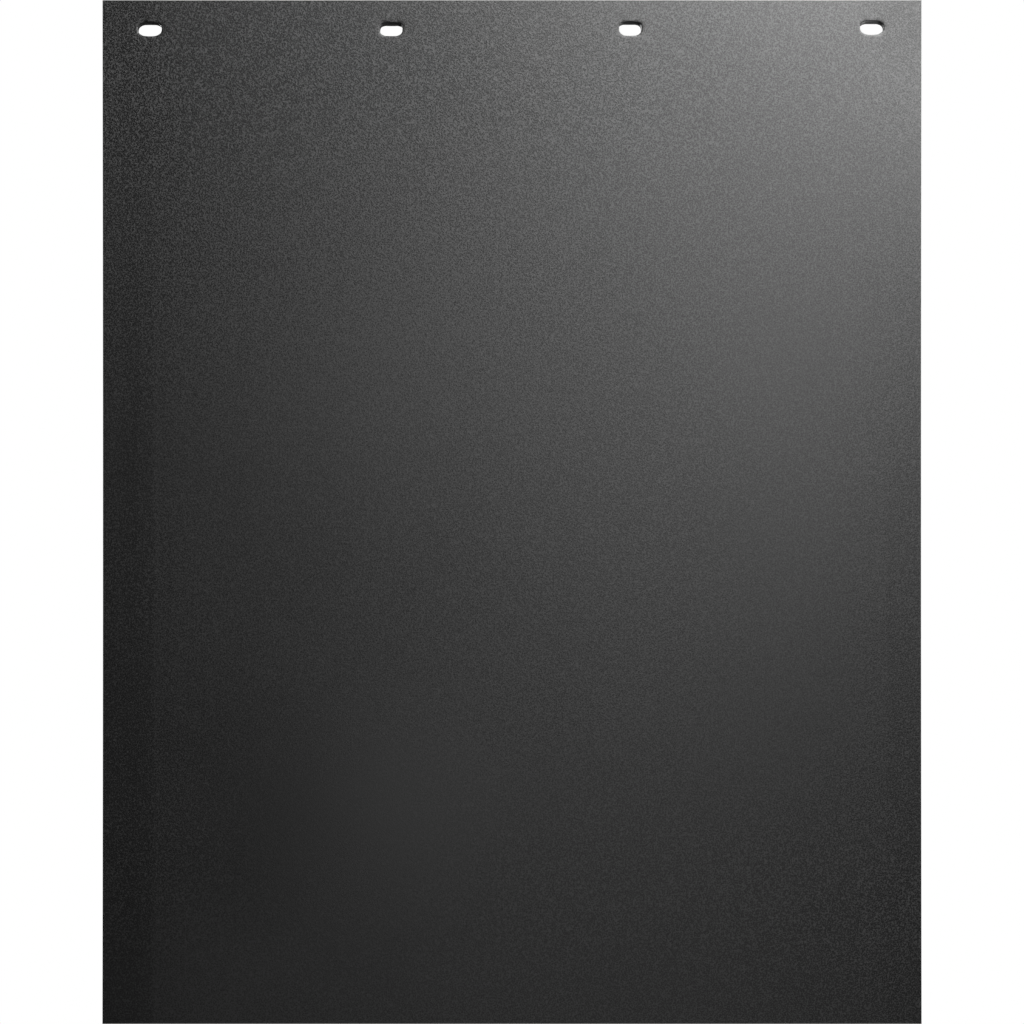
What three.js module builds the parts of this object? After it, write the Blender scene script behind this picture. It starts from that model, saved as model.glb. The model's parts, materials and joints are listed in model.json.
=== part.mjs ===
// Mud flap: one flat sheet of black polymer, cut to a rectangle and punched with a row of bolt slots
// along its top edge. It hangs behind a wheel from bolts through the slots, with its back face
// against a hanger bar. Nothing else belongs to it: the bolts, washers and bar are the vehicle's.
//
// Millimetres, +Z up, +X across the flap. The face seen from behind the vehicle looks towards -Y.
// The origin is the middle of the slot row, on the back face.

import * as THREE from 'three';

const INCH = 25.4;

// The sheet, by its trade size
const SHEET_WIDTH = 24 * INCH;
const SHEET_HEIGHT = 30 * INCH;
const SHEET_THICKNESS = 0.25 * INCH;

// The slots, each a stadium lying along X that passes a 3/8 inch bolt with room to slide sideways
const SLOT_COUNT = 4;
const SLOT_PITCH = (7 + 1 / 16) * INCH;
const SLOT_LENGTH = 0.75 * INCH;
const SLOT_HEIGHT = (7 / 16) * INCH;
const SLOT_ROW_BELOW_TOP = 21;
const SLOT_CURVE_SEGMENTS = 8; // three.js draws an arc with twice as many straight steps

const BLACK_POLYMER = new THREE.MeshStandardMaterial({
  name: 'black_polymer',
  color: 0x2b2b2b,
  roughness: 0.55,
  metalness: 0,
});

// The slots' centres along the row, evenly spaced about the middle of the sheet.
function slotCentres() {
  const middle = (SLOT_COUNT - 1) / 2;
  return Array.from({ length: SLOT_COUNT }, (_, i) => (i - middle) * SLOT_PITCH);
}

// One slot's outline: two half circles joined by straight sides.
function slotOutline(centreX) {
  const radius = SLOT_HEIGHT / 2;
  const reach = SLOT_LENGTH / 2 - radius;
  const outline = new THREE.Path();
  outline.absarc(centreX + reach, 0, radius, -Math.PI / 2, Math.PI / 2, false);
  outline.absarc(centreX - reach, 0, radius, Math.PI / 2, (3 * Math.PI) / 2, false);
  outline.closePath();
  return outline;
}

// The whole face, drawn about the middle of the slot row, with the slots as holes in it.
function faceOutline() {
  const right = SHEET_WIDTH / 2;
  const top = SLOT_ROW_BELOW_TOP;
  const bottom = top - SHEET_HEIGHT;
  const face = new THREE.Shape();
  face.moveTo(-right, bottom);
  face.lineTo(right, bottom);
  face.lineTo(right, top);
  face.lineTo(-right, top);
  face.closePath();
  face.holes = slotCentres().map(slotOutline);
  return face;
}

// The face drawing is pushed out to the sheet's thickness. It is drawn flat, so a quarter turn
// stands it up, with its back in the plane Y = 0 and its thickness reaching towards -Y.
function makeFlapSheet() {
  const solid = new THREE.ExtrudeGeometry(faceOutline(), {
    depth: SHEET_THICKNESS,
    bevelEnabled: false,
    curveSegments: SLOT_CURVE_SEGMENTS,
  });
  const sheet = new THREE.Mesh(solid, BLACK_POLYMER);
  sheet.name = 'flap_sheet';
  sheet.rotation.x = Math.PI / 2;
  return sheet;
}

const mudFlap = new THREE.Group();
mudFlap.name = 'mud_flap';
mudFlap.add(makeFlapSheet());

export default mudFlap;
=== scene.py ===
# %% [markdown]
# A mud flap
#
# This lesson makes a truck's mud flap. The real one is a single sheet of black polymer, extruded
# flat with a fine grain rolled into it, cut to a rectangle and punched with a row of bolt slots.
# With so plain a shape, the looks are all in the finish: how the grain breaks up the sheen, how
# the punch rolls the slot's rim over, and how the shear leaves the cut edges.
#
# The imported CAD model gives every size. Its plain plate is replaced by a finer one of our own.

# %% Load the frame
import json
import math

import bmesh
import bpy
from mathutils import Matrix, Vector


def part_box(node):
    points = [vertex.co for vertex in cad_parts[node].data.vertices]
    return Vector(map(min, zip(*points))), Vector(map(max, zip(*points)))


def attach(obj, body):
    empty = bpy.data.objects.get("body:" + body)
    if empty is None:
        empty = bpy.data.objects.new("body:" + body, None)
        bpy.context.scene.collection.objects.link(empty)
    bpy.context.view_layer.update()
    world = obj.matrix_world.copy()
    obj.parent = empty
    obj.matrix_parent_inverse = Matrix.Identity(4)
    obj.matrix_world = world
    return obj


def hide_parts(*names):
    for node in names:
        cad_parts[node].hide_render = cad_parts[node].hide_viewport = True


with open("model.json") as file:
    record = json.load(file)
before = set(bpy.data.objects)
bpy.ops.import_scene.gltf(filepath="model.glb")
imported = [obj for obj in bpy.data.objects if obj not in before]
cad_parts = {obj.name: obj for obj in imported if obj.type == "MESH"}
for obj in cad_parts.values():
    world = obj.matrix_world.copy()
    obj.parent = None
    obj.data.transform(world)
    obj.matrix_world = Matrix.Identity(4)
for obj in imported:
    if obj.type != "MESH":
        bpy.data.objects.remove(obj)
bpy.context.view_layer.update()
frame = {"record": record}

MM = 0.001
sheet_low, sheet_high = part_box("flap_sheet")
width, thickness, height = sheet_high - sheet_low
middle = (sheet_low + sheet_high) / 2
front, back = sheet_low.y, sheet_high.y

# %% [markdown]
# The slots' sizes are read from the part's record, which states the row of bolts that the flap
# hangs on: how many, how far apart, and each slot's half height and length.

# %% Read the row of slots
record = frame["record"]
bolts = next(mount for mount in record["mounts"] if mount["name"] == "hanger_bolts")
slot_count = bolts["dims"]["count"]
slot_pitch = bolts["dims"]["spacing_x_mm"] * MM
slot_radius = bolts["dims"]["hole_r_mm"] * MM
slot_reach = bolts["dims"]["slot_length_mm"] * MM / 2 - slot_radius
row_x, row_y, row_z = bolts["pos_m"]
slot_centres = [row_x + (i - (slot_count - 1) / 2) * slot_pitch for i in range(slot_count)]
print(slot_count, "slots at x =", [round(x / MM, 1) for x in slot_centres], "mm")

# %% [markdown]
# The flap is looked at square on, from close enough that the walls inside the slots show. A
# lens a little longer than the sensor is wide does that. The distance follows from it, because
# the flap's height has to fill the view almost to its edges.

# %% Set up the camera
LENS = 45
SENSOR = 36
VIEW_OVER_HEIGHT = 1.0002    # the view's side over the flap's height
distance = VIEW_OVER_HEIGHT * height * LENS / SENSOR

camera_data = bpy.data.cameras.new("straight_on")
camera_data.lens = LENS
camera_data.sensor_width = SENSOR
camera = bpy.data.objects.new("straight_on", camera_data)
camera.location = (middle.x, front - distance, middle.z)
camera.rotation_euler = (math.radians(90), 0, 0)
bpy.context.collection.objects.link(camera)
bpy.context.scene.camera = camera
print("camera", round(distance, 3), "m in front of the flap")

# %% [markdown]
# The sheet is modelled flat, as the face seen from behind the vehicle. One rectangle is cut
# right across with bisecting planes: two close beside each slot in each direction, which frame
# it in a cell of its own, and a few more in between, so that the sheet can be bent a little
# later. Cutting keeps every face a rectangle and every corner shared.

# %% Cut the face into cells
CELL_HALF_WIDTH = 17 * MM
CELL_HALF_HEIGHT = 12.5 * MM
FACE_STEP = 26 * MM


def cut_lines(fixed, low, high):
    """The fixed lines, and even steps of about FACE_STEP between them and the two ends."""
    stops = sorted([low, high, *fixed])
    lines = []
    for start, end in zip(stops, stops[1:]):
        steps = max(1, round((end - start) / FACE_STEP))
        lines += [start + (end - start) * i / steps for i in range(steps)]
    return lines[1:]


def bisect(bm, point, normal):
    everything = bm.verts[:] + bm.edges[:] + bm.faces[:]
    bmesh.ops.bisect_plane(bm, geom=everything, plane_co=point, plane_no=normal)


sheet = bmesh.new()
upright = Matrix.Rotation(math.radians(90), 4, "X")
place = Matrix.Translation((middle.x, front, middle.z))
size = Matrix.Diagonal((width / 2, 1, height / 2, 1))
bmesh.ops.create_grid(sheet, x_segments=1, y_segments=1, size=1, matrix=place @ size @ upright)

sides = [x + side * CELL_HALF_WIDTH for x in slot_centres for side in (-1, 1)]
for x in cut_lines(sides, sheet_low.x, sheet_high.x):
    bisect(sheet, (x, 0, 0), (1, 0, 0))
rows = [row_z - CELL_HALF_HEIGHT, row_z + CELL_HALF_HEIGHT]
for z in cut_lines(rows, sheet_low.z, sheet_high.z):
    bisect(sheet, (0, 0, z), (0, 0, 1))
print(len(sheet.faces), "rectangles")

# %% [markdown]
# A slot is a round hole pulled apart sideways: a ring of points whose right half moves right and
# left half moves left. Each slot gets three such rings, for its wall, for where the rim that the
# punch rolled over meets the flat, and for where the flat is undisturbed again. The outermost
# is bridged to its cell's edge, which first gets as many points as the ring has. Rings that lie
# in one plane can bridge the wrong way round, so they are drawn out of it like a telescope
# until the bridging is done, and then everything is pressed flat.

# %% Put the slots in their cells
HALF_RING_POINTS = 16
STRAIGHT_STEPS = 4
RIM_RINGS = (0, 0.9 * MM, 2.4 * MM)
DRAWN_OUT = 2 * MM


def once_each(items):
    """The items without repeats, in an order that is the same in every run, as a set's isn't."""
    return list(dict.fromkeys(items))


def slot_ring(bm, centre_x, outset):
    """A stadium of loose edges, this far outside the slot's wall."""
    turn = Matrix.Rotation(math.pi / (2 * HALF_RING_POINTS), 4, "Z")
    spot = Matrix.Translation((centre_x, front, row_z)) @ upright @ turn
    ring = bmesh.ops.create_circle(
        bm, segments=2 * HALF_RING_POINTS, radius=slot_radius + outset, matrix=spot
    )["verts"]
    for side in (-1, 1):
        half = [v for v in ring if (v.co.x - centre_x) * side > 0]
        bmesh.ops.translate(bm, verts=half, vec=(side * slot_reach, 0, 0))
    edges = once_each(edge for v in ring for edge in v.link_edges)
    straight = [e for e in edges if e.calc_length() > slot_reach]
    made = bmesh.ops.subdivide_edges(bm, edges=straight, cuts=STRAIGHT_STEPS - 1)
    return once_each(edges + [e for e in made["geom"] if isinstance(e, bmesh.types.BMEdge)])


def open_cell(bm, centre_x, points):
    """Takes a slot's cell out of the face, and returns its border, cut into as many edges."""
    centre = Vector((centre_x, front, row_z))
    cell = min(bm.faces, key=lambda face: (face.calc_center_median() - centre).length)
    border = cell.edges[:]
    bmesh.ops.delete(bm, geom=[cell], context="FACES_ONLY")
    flat = [e for e in border if abs(e.verts[0].co.z - e.verts[1].co.z) < MM]
    steep = [e for e in border if e not in flat]
    share = CELL_HALF_WIDTH / (CELL_HALF_WIDTH + CELL_HALF_HEIGHT)
    across = round(points / 2 * share)
    for edges, steps in ((flat, across), (steep, points // 2 - across)):
        made = bmesh.ops.subdivide_edges(bm, edges=edges, cuts=steps - 1)
        border += [e for e in made["geom"] if isinstance(e, bmesh.types.BMEdge)]
    return once_each(border)


for centre_x in slot_centres:
    rings = [slot_ring(sheet, centre_x, outset) for outset in RIM_RINGS]
    for steps, ring in enumerate(reversed(rings), start=1):
        points = once_each(v for edge in ring for v in edge.verts)
        bmesh.ops.translate(sheet, verts=points, vec=(0, steps * DRAWN_OUT, 0))
    border = open_cell(sheet, centre_x, len(rings[0]))
    for inner, outer in zip(rings, [*rings[1:], border]):
        bmesh.ops.bridge_loops(sheet, edges=inner + outer)
in_front = Matrix.Translation((0, -front, 0))
bmesh.ops.scale(sheet, verts=sheet.verts[:], vec=(1, 0, 1), space=in_front)
print(len(sheet.faces), "faces with the slots in, covering",
      round(sum(face.calc_area() for face in sheet.faces) / (width * height) * 100, 2), "%")

# %% [markdown]
# Pushing the face back by the sheet's thickness makes the solid, and leaves a wall around the
# outline and around each slot.

# %% Give the sheet its thickness
pushed = bmesh.ops.extrude_face_region(sheet, geom=sheet.faces[:], use_keep_orig=True)
far_side = [item for item in pushed["geom"] if isinstance(item, bmesh.types.BMVert)]
bmesh.ops.translate(sheet, verts=far_side, vec=(0, back - front, 0))
bmesh.ops.recalc_face_normals(sheet, faces=sheet.faces[:])
print("closed:", all(edge.is_manifold for edge in sheet.edges),
      "volume", round(sheet.calc_volume() * 1000, 3), "litres")

# %% [markdown]
# A punch doesn't leave a square-edged hole. On the side where it goes in, it drags the surface
# down with it and rolls the rim over. It cuts cleanly for the first part of its way, then the
# rest tears, so the hole widens a little and ends in a thin raised lip on the far side. The ring
# points are moved in small steps to give all three.

# %% Draw the rims in and raise the lips
SINK = (0.3 * MM, 0.1 * MM, 0)       # of the near face, at each ring
LIP = (0.22 * MM, 0.1 * MM, 0)       # of the far face, at each ring
TEAR = 0.2 * MM                      # how much wider the slot ends than it starts
LEVEL = 0.01 * MM                    # points closer than this lie on the same ring or face


def nearest_slot(point):
    return min(range(slot_count), key=lambda slot: abs(point.x - slot_centres[slot]))


def from_core(point):
    """The way across the sheet to this point from the middle line of the nearest slot."""
    centre_x = slot_centres[nearest_slot(point)]
    core_x = min(max(point.x, centre_x - slot_reach), centre_x + slot_reach)
    return Vector((point.x - core_x, 0, point.z - row_z))


for v in sheet.verts:
    out = from_core(v.co)
    for outset, sink, lip in zip(RIM_RINGS, SINK, LIP):
        if abs(out.length - slot_radius - outset) < LEVEL:
            on_near_face = abs(v.co.y - front) < LEVEL
            if outset == 0 and not on_near_face:
                v.co += out.normalized() * TEAR
            v.co.y += sink if on_near_face else lip
print("slot at the far face", round((slot_radius + TEAR) * 2 / MM, 2), "mm high")

# %% [markdown]
# Every edge of the real sheet is eased, some by the punch and some by the shear and by
# handling. Without that an edge has no line of light along it, and looks computed. The rims get
# a broad round, and the sheared outline a narrow one.

# %% Round the rims and the outline
RIM_ROUND = 0.55 * MM
LIP_ROUND = 0.12 * MM
ARRIS = 0.15 * MM
SHARP = math.radians(50)


def beside_slot(edge):
    points = [v.co for v in edge.verts]
    return all(from_core(point).length < slot_radius + RIM_RINGS[1] / 2 for point in points)


def sharp_edges(bm, wanted):
    sharp = [e for e in bm.edges if e.is_manifold and e.calc_face_angle() > SHARP]
    return [e for e in sharp if wanted(e)]


def at_front(edge):
    return all(v.co.y < (front + back) / 2 for v in edge.verts)


def bevel(bm, edges, offset, segments):
    bmesh.ops.bevel(
        bm, geom=edges, offset=offset, offset_type="OFFSET", segments=segments,
        profile=0.5, affect="EDGES", material=-1, clamp_overlap=True,
    )
    print("rounded", len(edges), "edges by", round(offset / MM, 2), "mm")


near_rims = sharp_edges(sheet, lambda e: beside_slot(e) and at_front(e))
bevel(sheet, near_rims, RIM_ROUND, 5)
far_rims = sharp_edges(sheet, lambda e: beside_slot(e) and not at_front(e))
bevel(sheet, far_rims, LIP_ROUND, 2)
outline = sharp_edges(sheet, lambda e: not beside_slot(e))
bevel(sheet, outline, ARRIS, 3)

# %% [markdown]
# The four slots aren't copies of each other. Each is punched in its own stroke, a little off its
# mark, and the polymer gives under the punch and springs back as an oval: flatter along its top
# than along its bottom, where the punch leaned. So the finished rims are moved from the ideal
# slot to an oval of each slot's own size, less and less with distance, until the flat is reached.

# %% Let each slot spring back its own way
HALF_LENGTHS = [8.9 * MM, 8.4 * MM, 8.3 * MM, 8.7 * MM]
HALF_HEIGHTS = [5.3 * MM, 5.15 * MM, 5.3 * MM, 5.2 * MM]
TOP_POWERS = [2.7, 4.0, 3.5, 3.0]        # 2 is an ellipse, and more is squarer
BOTTOM_POWERS = [2.3, 2.7, 2.4, 2.1]
OFF_MARK = [(-0.6, -0.5), (-0.4, -0.45), (-1.5, -0.15), (-1.2, 0.4)]  # right and up, in mm
LEAN = [(-1.0, 0), (0, -0.7), (-0.3, -0.2), (0.9, -0.1)]              # more of it at the far face
FADE_OUT = CELL_HALF_HEIGHT - slot_radius


def slot_reach_along(way):
    """How far the ideal slot's wall is from its middle, in this direction."""
    along, up = abs(way.x), abs(way.z)
    if up > 0 and along / up * slot_radius <= slot_reach:
        return slot_radius / up
    return slot_reach * along + math.sqrt(slot_radius ** 2 - (slot_reach * up) ** 2)


def oval_reach_along(way, slot):
    power = (TOP_POWERS if way.z > 0 else BOTTOM_POWERS)[slot]
    along, up = abs(way.x) / HALF_LENGTHS[slot], abs(way.z) / HALF_HEIGHTS[slot]
    return (along ** power + up ** power) ** (-1 / power)


def spring_back(point):
    nearness = 1 - max(0, from_core(point).length - slot_radius) / FADE_OUT
    if nearness <= 0:
        return Vector()
    slot = nearest_slot(point)
    way = Vector((point.x - slot_centres[slot], 0, point.z - row_z)).normalized()
    depth = (point.y - front) / thickness
    off = Vector((OFF_MARK[slot][0] + LEAN[slot][0] * depth, 0,
                  OFF_MARK[slot][1] + LEAN[slot][1] * depth)) * MM
    return (way * (oval_reach_along(way, slot) - slot_reach_along(way)) + off) * nearness


for v in sheet.verts:
    v.co += spring_back(v.co)
print("slots", [round(2 * half / MM, 1) for half in HALF_LENGTHS], "mm long")

# %% [markdown]
# No polymer sheet hangs dead flat. Off the line it keeps a little of the curve that it cooled in,
# and its foot swings a little forward. A bow of a millimetre over the whole height is far too small
# to see as a shape, but it bends the sheen, which a perfect plane would spread too evenly. The
# depth at each height comes from a formula, and is none at the bolts.

# %% Bow the sheet a little
BOW = 1.2 * MM
SWING = 0.4 * MM


def bow(point):
    """How far the sheet stands back at this height."""
    drop = max(0, row_z - point.z) / height
    return BOW * math.sin(math.pi * drop) - SWING * drop


for v in sheet.verts:
    v.co.y += bow(v.co)

# %% [markdown]
# The flat faces carry the rolled grain, and every cut carries the finish that the shear or the
# punch left. So the sheet has two materials, told apart by which way a face looks. Smooth
# shading with weighted normals keeps the big faces flat and the small rounds soft.

# %% Make the object
FACE_FINISH, CUT_FINISH = 0, 1
BIG_FACES = 90               # 50 is neutral, and more lets the big faces decide the shading

for face in sheet.faces:
    face.smooth = True
    face.material_index = FACE_FINISH if abs(face.normal.y) > 0.5 else CUT_FINISH

mesh = bpy.data.meshes.new("punched_sheet")
sheet.to_mesh(mesh)
sheet.free()
flap = bpy.data.objects.new("punched_sheet", mesh)
bpy.context.collection.objects.link(flap)
flap.modifiers.new("flat_faces", "WEIGHTED_NORMAL").weight = BIG_FACES
print(len(mesh.polygons), "faces on the finished sheet")

# %% [markdown]
# Materials are built from nodes. To keep their sums readable, a small class wraps a node's
# output, and turns +, -, * and abs() into Math nodes. Every other node comes from one method.
# Patterns are laid out in the piece's own coordinates, in millimetres, so that their sizes can be
# given as a maker would.

# %% A class for shader sums
class Wire:
    """A node's output. Arithmetic on it adds Math nodes to the same tree."""

    def __init__(self, tree, socket=None):
        self.tree = tree
        self.socket = socket

    def node(self, kind, settings=None, inputs=None, output=0):
        """Adds a node, sets it up, feeds its inputs, and returns one of its outputs."""
        made = self.tree.nodes.new("ShaderNode" + kind)
        for name, value in (settings or {}).items():
            setattr(made, name, value)
        for name, value in (inputs or {}).items():
            if isinstance(value, Wire):
                self.tree.links.new(value.socket, made.inputs[name])
            else:
                made.inputs[name].default_value = value
        return Wire(self.tree, made.outputs[output])

    def maths(self, operation, *values):
        return self.node("Math", {"operation": operation}, dict(enumerate(values)))

    def __abs__(self):
        return self.maths("ABSOLUTE", self)

    def __add__(self, other):
        return self.maths("ADD", self, other)

    def __sub__(self, other):
        return self.maths("SUBTRACT", self, other)

    def __rsub__(self, other):
        return self.maths("SUBTRACT", other, self)

    def __mul__(self, other):
        return self.maths("MULTIPLY", self, other)

    __radd__ = __add__
    __rmul__ = __mul__


def new_material(name):
    """A material with its Principled shader, and a wire to start its sums from."""
    material = bpy.data.materials.new(name)
    material.use_nodes = True
    return material, material.node_tree.nodes["Principled BSDF"], Wire(material.node_tree)


def in_millimetres(start):
    """The piece's own coordinates, scaled so that a pattern's scale is one over its size in mm."""
    place = start.node("TexCoord", output="Object")
    return start.node("VectorMath", {"operation": "SCALE"}, {0: place, "Scale": 1 / MM})


def noise(start, place, size, detail=2, roughness=0.5, output=0):
    """Noise whose blobs are about this many millimetres across."""
    return start.node(
        "TexNoise", None,
        {"Vector": place, "Scale": 1 / size, "Detail": detail, "Roughness": roughness},
        output,
    )


def stretched(start, place, factors):
    """The place times factors. A small factor draws a pattern out along that axis."""
    return start.node("VectorMath", {"operation": "MULTIPLY"}, {0: place, 1: factors})


def bump(start, height_in_mm):
    """The normal of a surface raised by this height."""
    return start.node("Bump", None, {"Height": height_in_mm, "Distance": MM, "Strength": 1})


def feed(shader, wires):
    """Links each wire to the shader's input of that name."""
    for name, wire in wires.items():
        wire.tree.links.new(wire.socket, shader.inputs[name])


print("patterns are laid out with", round(1 / MM), "units to the metre")

# %% [markdown]
# The faces carry a haircell grain: pebbles a little over a millimetre across, rolled in while the
# sheet was hot. Voronoi cells give the pebbles, with their places shaken by noise, and a finer
# noise wrinkles them, so that no two look alike.

# %% The grain
PEBBLE = 1.15                # mm across
WRINKLE = 0.6
PEBBLE_HEIGHT = 0.06         # mm high
WRINKLE_HEIGHT = 0.06
SHAKE_SIZE = 2.5             # mm across, of the noise that shakes the pebbles
SHAKE = 0.9                  # mm
MIDDLE_VALUE = 0.5           # that each pattern rises above and falls below


def grain_pattern(start, place):
    """How far from a pebble's middle each place is, and how high on a wrinkle."""
    shake = noise(start, place, SHAKE_SIZE, output="Color")
    shaken = start.node("VectorMath", {"operation": "MULTIPLY_ADD"},
                        {0: shake, 1: (SHAKE, SHAKE, SHAKE), 2: place})
    pits = start.node("TexVoronoi", {"feature": "F1"}, {"Vector": shaken, "Scale": 1 / PEBBLE})
    wrinkles = noise(start, shaken, WRINKLE, detail=1)
    return pits, wrinkles


print("pebbles", PEBBLE, "mm across and", PEBBLE_HEIGHT, "mm high")

# %% [markdown]
# A rolled grain isn't the same all over. It is crisper where the roll pressed harder, and fainter
# where the sheet had cooled. Noise could place such changes at random, but here they are few and
# broad, so each is a soft round area of its own: how far right and up of the sheet's middle it is
# and how wide it reaches, all in mm, and how much it adds.

# %% Where the grain is crisp or faint
CRISP_AREAS = [
    (-330, 400, 385, 2.15), (330, -330, 230, 0.85), (14, 270, 180, 0.45), (-300, -50, 110, 0.3),
    (-300, -220, 130, 0.45),
]
FAINT_AREAS = [
    (-123, -245, 200, 0.75), (204, 110, 110, 0.45), (204, -20, 110, 0.45), (204, -150, 120, 0.5),
    (-180, 40, 230, 0.28), (320, 300, 300, 0.3),
]
FULL_WITHIN = 0.1            # of an area's reach


def ramp(start, value, zero_at, one_at):
    """A soft step from 0 to 1 between two values."""
    return start.node("MapRange", {"interpolation_type": "SMOOTHSTEP"},
                      {0: value, 1: zero_at, 2: one_at})


def spread(start, place, areas):
    """The sum of some soft round areas of the sheet."""
    amounts = []
    for right, up, reach, amount in areas:
        centre = (middle.x / MM + right, front / MM, middle.z / MM + up)
        away = start.node("VectorMath", {"operation": "DISTANCE"}, {0: place, 1: centre}, "Value")
        amounts.append(ramp(start, away, reach, reach * FULL_WITHIN) * amount)
    return sum(amounts[1:], amounts[0])


print(len(CRISP_AREAS), "crisp areas and", len(FAINT_AREAS), "faint ones")

# %% [markdown]
# Black polymer sweats out a little wax, which dries to a thin grey film, the bloom. It lies
# unevenly in the grain and spreads light more widely than bare polymer does, which speckles the
# sheen. Relief alone could make a speckle too, but it lights one side of every pebble, and the
# sheet would look brushed. So the relief is weak, and the shader's coat, which is rougher than the
# polymer under it, is the bloom. Its weight follows the grain, about a mean that drifts over the
# sheet, and is less in some bands along the sides, where the roll left a smoother finish.

# %% The bloom in the grain
BLOOM_MEAN = 0.5
BLOOM_IN_PITS = 1.6
BLOOM_IN_WRINKLES = 2.5
BLOOM_LOST_WHERE_CRISP = 0.02
UNEVEN_AREAS = [
    (-120, 138, 200, 0.16), (-80, -205, 120, 0.13), (-225, -215, 150, -0.15),
    (75, 120, 120, -0.05), (75, -310, 180, -0.11), (255, -320, 150, -0.17),
    (-230, -375, 110, 0.16), (300, 378, 60, -0.25), (-285, 360, 200, -0.3),
    (-50, 380, 180, -0.15), (109, 10, 110, -0.06),
]

# mm from the left edge, and the bloom lost outside it, at the top and at the bottom
LEFT_BANDS = [(52, 0.05, 0.05), (37, 0.13, 0.25), (27, 0.08, 0.09), (15, -0.14, -0.04)]
BAND_BLUR = 2
RIGHT_BAND = (26, 0.13)      # mm from the right edge, and the bloom lost at the bottom
RIGHT_BLUR = 3
SEAM = 41                    # mm from the left edge, where the bloom is thicker along a line
SEAM_CORE, SEAM_EDGE = 0.4, 2.4            # mm to either side of it
SEAM_GAIN = 0.07
TOP_OF_FADE, BOTTOM_OF_FADE = 250, -200    # mm above the sheet's middle


def bands(start, place):
    """The bloom lost along the two sides of the sheet."""
    across = start.node("SeparateXYZ", None, {0: place}, "X")
    up = start.node("SeparateXYZ", None, {0: place}, "Z")
    lower = ramp(start, up - middle.z / MM, TOP_OF_FADE, BOTTOM_OF_FADE)
    from_left = across - sheet_low.x / MM
    from_right = sheet_high.x / MM - across
    inset, at_bottom = RIGHT_BAND
    lost = ramp(start, from_right, inset + RIGHT_BLUR, inset - RIGHT_BLUR) * lower * at_bottom
    for inset, at_top, at_bottom in LEFT_BANDS:
        loss = lower * (at_bottom - at_top) + at_top
        lost = lost + ramp(start, from_left, inset + BAND_BLUR, inset - BAND_BLUR) * loss
    return lost - ramp(start, abs(from_left - SEAM), SEAM_EDGE, SEAM_CORE) * SEAM_GAIN


print(len(LEFT_BANDS), "bands on the left and 1 on the right")

# %% [markdown]
# The finished face puts these together. The bloom goes into the coat's weight, and the weak relief
# into the normal. Into the colour goes a grey speckle on the grain, strongest where the grain is
# crisp. This is painted sheen, standing in for the light that the grain catches. Long low waves in
# the normal are the unevenness of a sheet that cooled on rollers, and broad patches are a shade
# worn.

# %% The grained face
RAISED_WHERE_CRISP = 0.6
WAVE = 90                    # mm long
WAVE_HEIGHT = 0.25           # mm
PATCH = 55                   # mm across
FACE_ROUGHNESS = 0.40
ROUGHER_UNDER_BLOOM = 0.03
ROUGHER_WHERE_WORN = 0.03
SMOOTHER_WHERE_CRISP = 0.015
BLOOM_ROUGHNESS = 0.58
BLOOM_IOR = 1.6
POLYMER_IOR = 1.5
POLYMER_BLACK = (0.0055, 0.0055, 0.0056, 1)
POLYMER_WORN = (0.0075, 0.0075, 0.0076, 1)
# The grey of the painted sheen speckle on the grain, and how much of it goes in where the grain is
# crisp.
SHEEN_SPECKLE_GREY = (0.06, 0.06, 0.06, 1)
SHEEN_SPECKLE_SHARE = 0.3


def grained_face():
    material, shader, start = new_material("haircell_face")
    place = in_millimetres(start)
    pits, wrinkles = grain_pattern(start, place)
    crisp = spread(start, place, CRISP_AREAS)
    waves = noise(start, place, WAVE, detail=1)
    grain = wrinkles * WRINKLE_HEIGHT - pits * PEBBLE_HEIGHT
    normal = bump(start, waves * WAVE_HEIGHT + grain * (crisp * RAISED_WHERE_CRISP + 1))

    even_speckle = ((pits - MIDDLE_VALUE) * BLOOM_IN_PITS
                    + (wrinkles - MIDDLE_VALUE) * BLOOM_IN_WRINKLES)
    speckle = even_speckle * (crisp - spread(start, place, FAINT_AREAS) + 1)
    drift = spread(start, place, UNEVEN_AREAS) - bands(start, place)
    film = drift - crisp * BLOOM_LOST_WHERE_CRISP + BLOOM_MEAN
    bloom = start.node("Clamp", None, {0: speckle + film})

    worn = noise(start, place, PATCH, detail=3)
    roughness = (speckle * ROUGHER_UNDER_BLOOM - crisp * SMOOTHER_WHERE_CRISP
                 + worn * ROUGHER_WHERE_WORN + FACE_ROUGHNESS)
    polymer = start.node("Mix", {"data_type": "RGBA"},
                         {0: worn, 6: POLYMER_BLACK, 7: POLYMER_WORN}, 2)
    # Painted sheen: a grey speckle on the grain, most where the grain is crisp.
    painted_sheen_speckle = start.node("Clamp", None, {0: even_speckle * crisp * SHEEN_SPECKLE_SHARE})
    colour = start.node("Mix", {"data_type": "RGBA"}, {0: painted_sheen_speckle, 6: polymer, 7: SHEEN_SPECKLE_GREY}, 2)

    feed(shader, {"Base Color": colour, "Roughness": roughness, "Normal": normal,
                  "Coat Weight": bloom})
    shader.inputs["Coat Roughness"].default_value = BLOOM_ROUGHNESS
    shader.inputs["Coat IOR"].default_value = BLOOM_IOR
    shader.inputs["IOR"].default_value = POLYMER_IOR
    print(len(start.tree.nodes), "nodes in the face's finish")
    return material


mesh.materials.append(grained_face())

# %% [markdown]
# A sheared edge shows two zones. Next to the face where the blade went in it is smooth and a
# little shiny, and beyond that it is torn and dull, with fine lines running through the sheet's
# thickness. Noise stretched along the thickness gives the lines on a wall of any direction.

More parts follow.
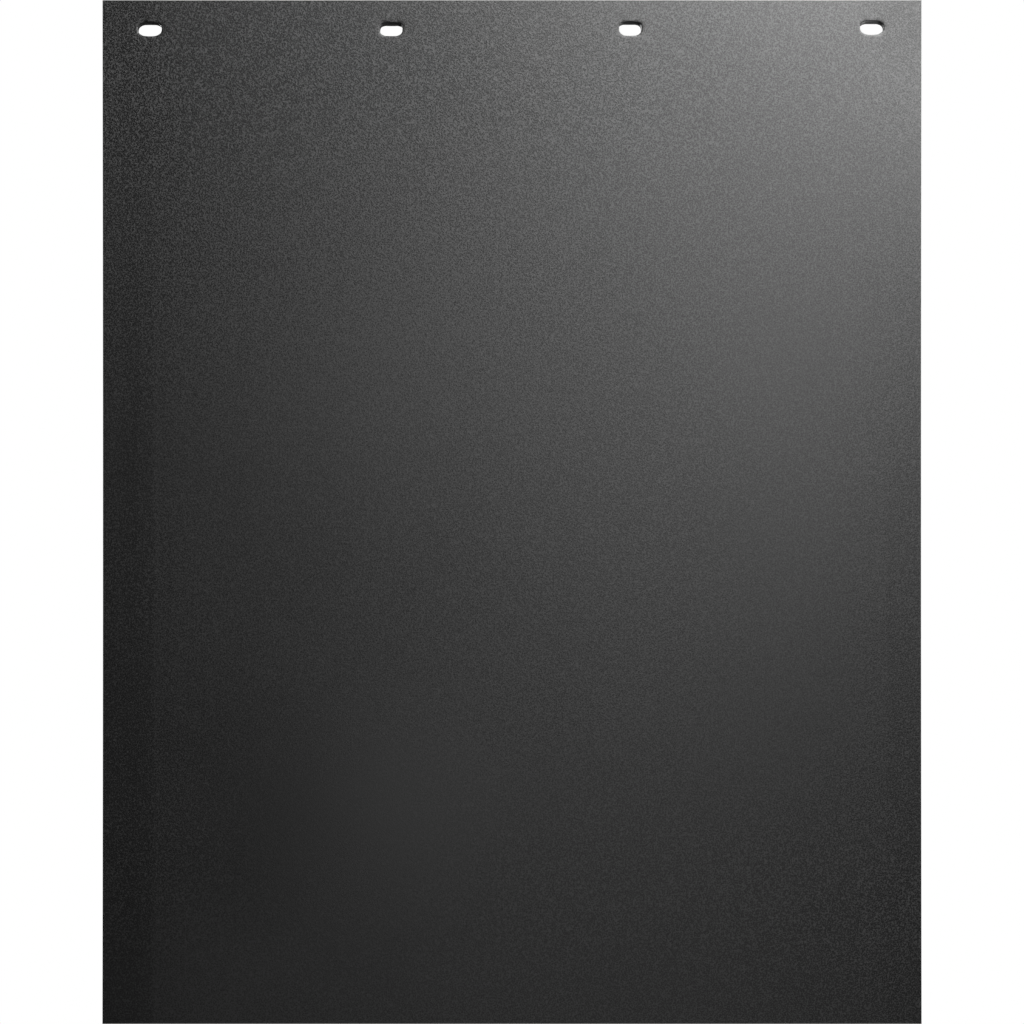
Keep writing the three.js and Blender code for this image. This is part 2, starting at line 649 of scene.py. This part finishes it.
# %% The cut edge
# Both colours are far lighter than the black polymer of the face. This is painted light: it stands
# in for the light that a bright room throws onto the slot walls and the outline. The torn zone is a
# shade lighter than the clean one.
CUT_BLACK_WITH_PAINTED_LIGHT = (0.036, 0.036, 0.036, 1)
CUT_TORN_WITH_PAINTED_LIGHT = (0.072, 0.072, 0.072, 1)
CUT_ROUGHNESS, TORN_ROUGHNESS = 0.42, 0.64
CLEAN_SHARE = 0.35           # of the sheet's thickness, cut before the rest tears
BLEND = 0.25                 # mm, half the width over which one turns into the other
JAG = 1.6                    # mm that the line between them wanders by
LINE, LINE_HEIGHT = 0.45, 0.03             # mm
ALONG_LINES = (1, 0.08, 1)
TEAR_GRAIN, TEAR_HEIGHT = 0.5, 0.16        # mm
ALONG_TEARS = (1, 0.5, 1)


def cut_edge():
    material, shader, start = new_material("sheared_edge")
    place = in_millimetres(start)
    depth = start.node("SeparateXYZ", None, {0: place}, "Y")
    drawn_out = stretched(start, place, ALONG_LINES)
    lines = noise(start, drawn_out, LINE, detail=3, roughness=0.6)
    jags = noise(start, place, JAG)
    clean_to = (front + thickness * CLEAN_SHARE) / MM
    torn = ramp(start, depth + (jags - MIDDLE_VALUE) * JAG, clean_to - BLEND, clean_to + BLEND)
    ragged = stretched(start, place, ALONG_TEARS)
    tears = noise(start, ragged, TEAR_GRAIN, detail=4, roughness=0.65)
    normal = bump(start, lines * LINE_HEIGHT + torn * tears * TEAR_HEIGHT)
    # The cut's colour is lifted by painted light, and is a shade lighter where torn.
    colour = start.node("Mix", {"data_type": "RGBA"},
                        {0: torn * tears, 6: CUT_BLACK_WITH_PAINTED_LIGHT, 7: CUT_TORN_WITH_PAINTED_LIGHT}, 2)
    roughness = torn * (TORN_ROUGHNESS - CUT_ROUGHNESS) + CUT_ROUGHNESS
    feed(shader, {"Base Color": colour, "Roughness": roughness, "Normal": normal})
    shader.inputs["IOR"].default_value = POLYMER_IOR
    print(len(start.tree.nodes), "nodes in the cut edge's finish")
    return material


mesh.materials.append(cut_edge())

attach(flap, "root")
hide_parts("flap_sheet")

# %% [markdown]
# The setting is a pale floor and a white surround. The floor is a disc that stops short of
# what the straight-on camera sees under and beside the flap. The surround is white to the
# camera only: what the sheet mirrors is a dim room and the lamps.

# %% Lay the floor and light the surround
FLOOR_DROP = 0.35            # m below the flap
FLOOR_RADIUS = 0.8
FLOOR_SEGMENTS = 96
FLOOR_GREY = (0.75, 0.75, 0.74, 1)
FLOOR_ROUGHNESS = 0.8
ROOM = 0.015                 # how bright the room is that the sheet mirrors

disc = bmesh.new()
spot = Matrix.Translation((middle.x, middle.y, sheet_low.z - FLOOR_DROP))
bmesh.ops.create_circle(
    disc, segments=FLOOR_SEGMENTS, radius=FLOOR_RADIUS, cap_ends=True, matrix=spot
)
floor_mesh = bpy.data.meshes.new("pale_floor")
disc.to_mesh(floor_mesh)
disc.free()
floor = bpy.data.objects.new("pale_floor", floor_mesh)
bpy.context.collection.objects.link(floor)
floor_material, floor_shader, _ = new_material("pale_floor")
floor_shader.inputs["Base Color"].default_value = FLOOR_GREY
floor_shader.inputs["Roughness"].default_value = FLOOR_ROUGHNESS
floor_mesh.materials.append(floor_material)
floor.visible_glossy = False

scene = bpy.context.scene
scene.view_settings.view_transform = "Standard"
scene.world = bpy.data.worlds.new("studio")
scene.world.use_nodes = True
studio = Wire(scene.world.node_tree)
seen = studio.node("LightPath", output="Is Camera Ray")
surround = scene.world.node_tree.nodes["Background"]
studio.tree.links.new((seen * (1 - ROOM) + ROOM).socket, surround.inputs["Strength"])
surround.inputs["Color"].default_value = (1, 1, 1, 1)
print("the flap hangs", FLOOR_DROP, "m above the floor, in a room", ROOM, "as bright as white")

# %% [markdown]
# The sheen is what shows the sheet's finish, so the lamps are placed for their reflections. The
# strongest hangs high in front, a little to the right. One close to the top right corner rakes
# across it, and one right of the camera lays a broad sheen over the middle. Two weak ones fill the
# middle and the foot. Two more behind light the far side, which the camera sees from other angles.
# The lamps themselves are never in view.

# %% Place the lamps
LAMP_SIDE = 0.8              # m


def soft_lamp(name, place, power):
    """A square soft lamp at a place given from the middle of the sheet, turned to face it."""
    lamp = bpy.data.lights.new(name, "AREA")
    lamp.shape = "SQUARE"
    lamp.size = LAMP_SIDE
    lamp.energy = power
    holder = bpy.data.objects.new(name, lamp)
    holder.location = middle + Vector(place)
    towards = middle - holder.location
    holder.rotation_euler = towards.to_track_quat("-Z", "Y").to_euler()
    holder.visible_camera = False
    bpy.context.collection.objects.link(holder)
    print(name, [round(x, 2) for x in holder.location], power, "W")


soft_lamp("high_front", (0.28, -1.49, 1.61), 23.6)
soft_lamp("top_corner", (0.52, -0.25, 0.73), 13.5)
soft_lamp("right_front", (0.51, -1.78, 0.42), 7.2)
soft_lamp("middle_fill", (0.14, -1.17, -0.21), 0.46)
soft_lamp("low_fill", (0.13, -1.27, -0.7), 0.77)
soft_lamp("behind_left", (-0.9, 1.5, 0.9), 25)
soft_lamp("behind_right", (1.1, 1.2, -0.1), 7)
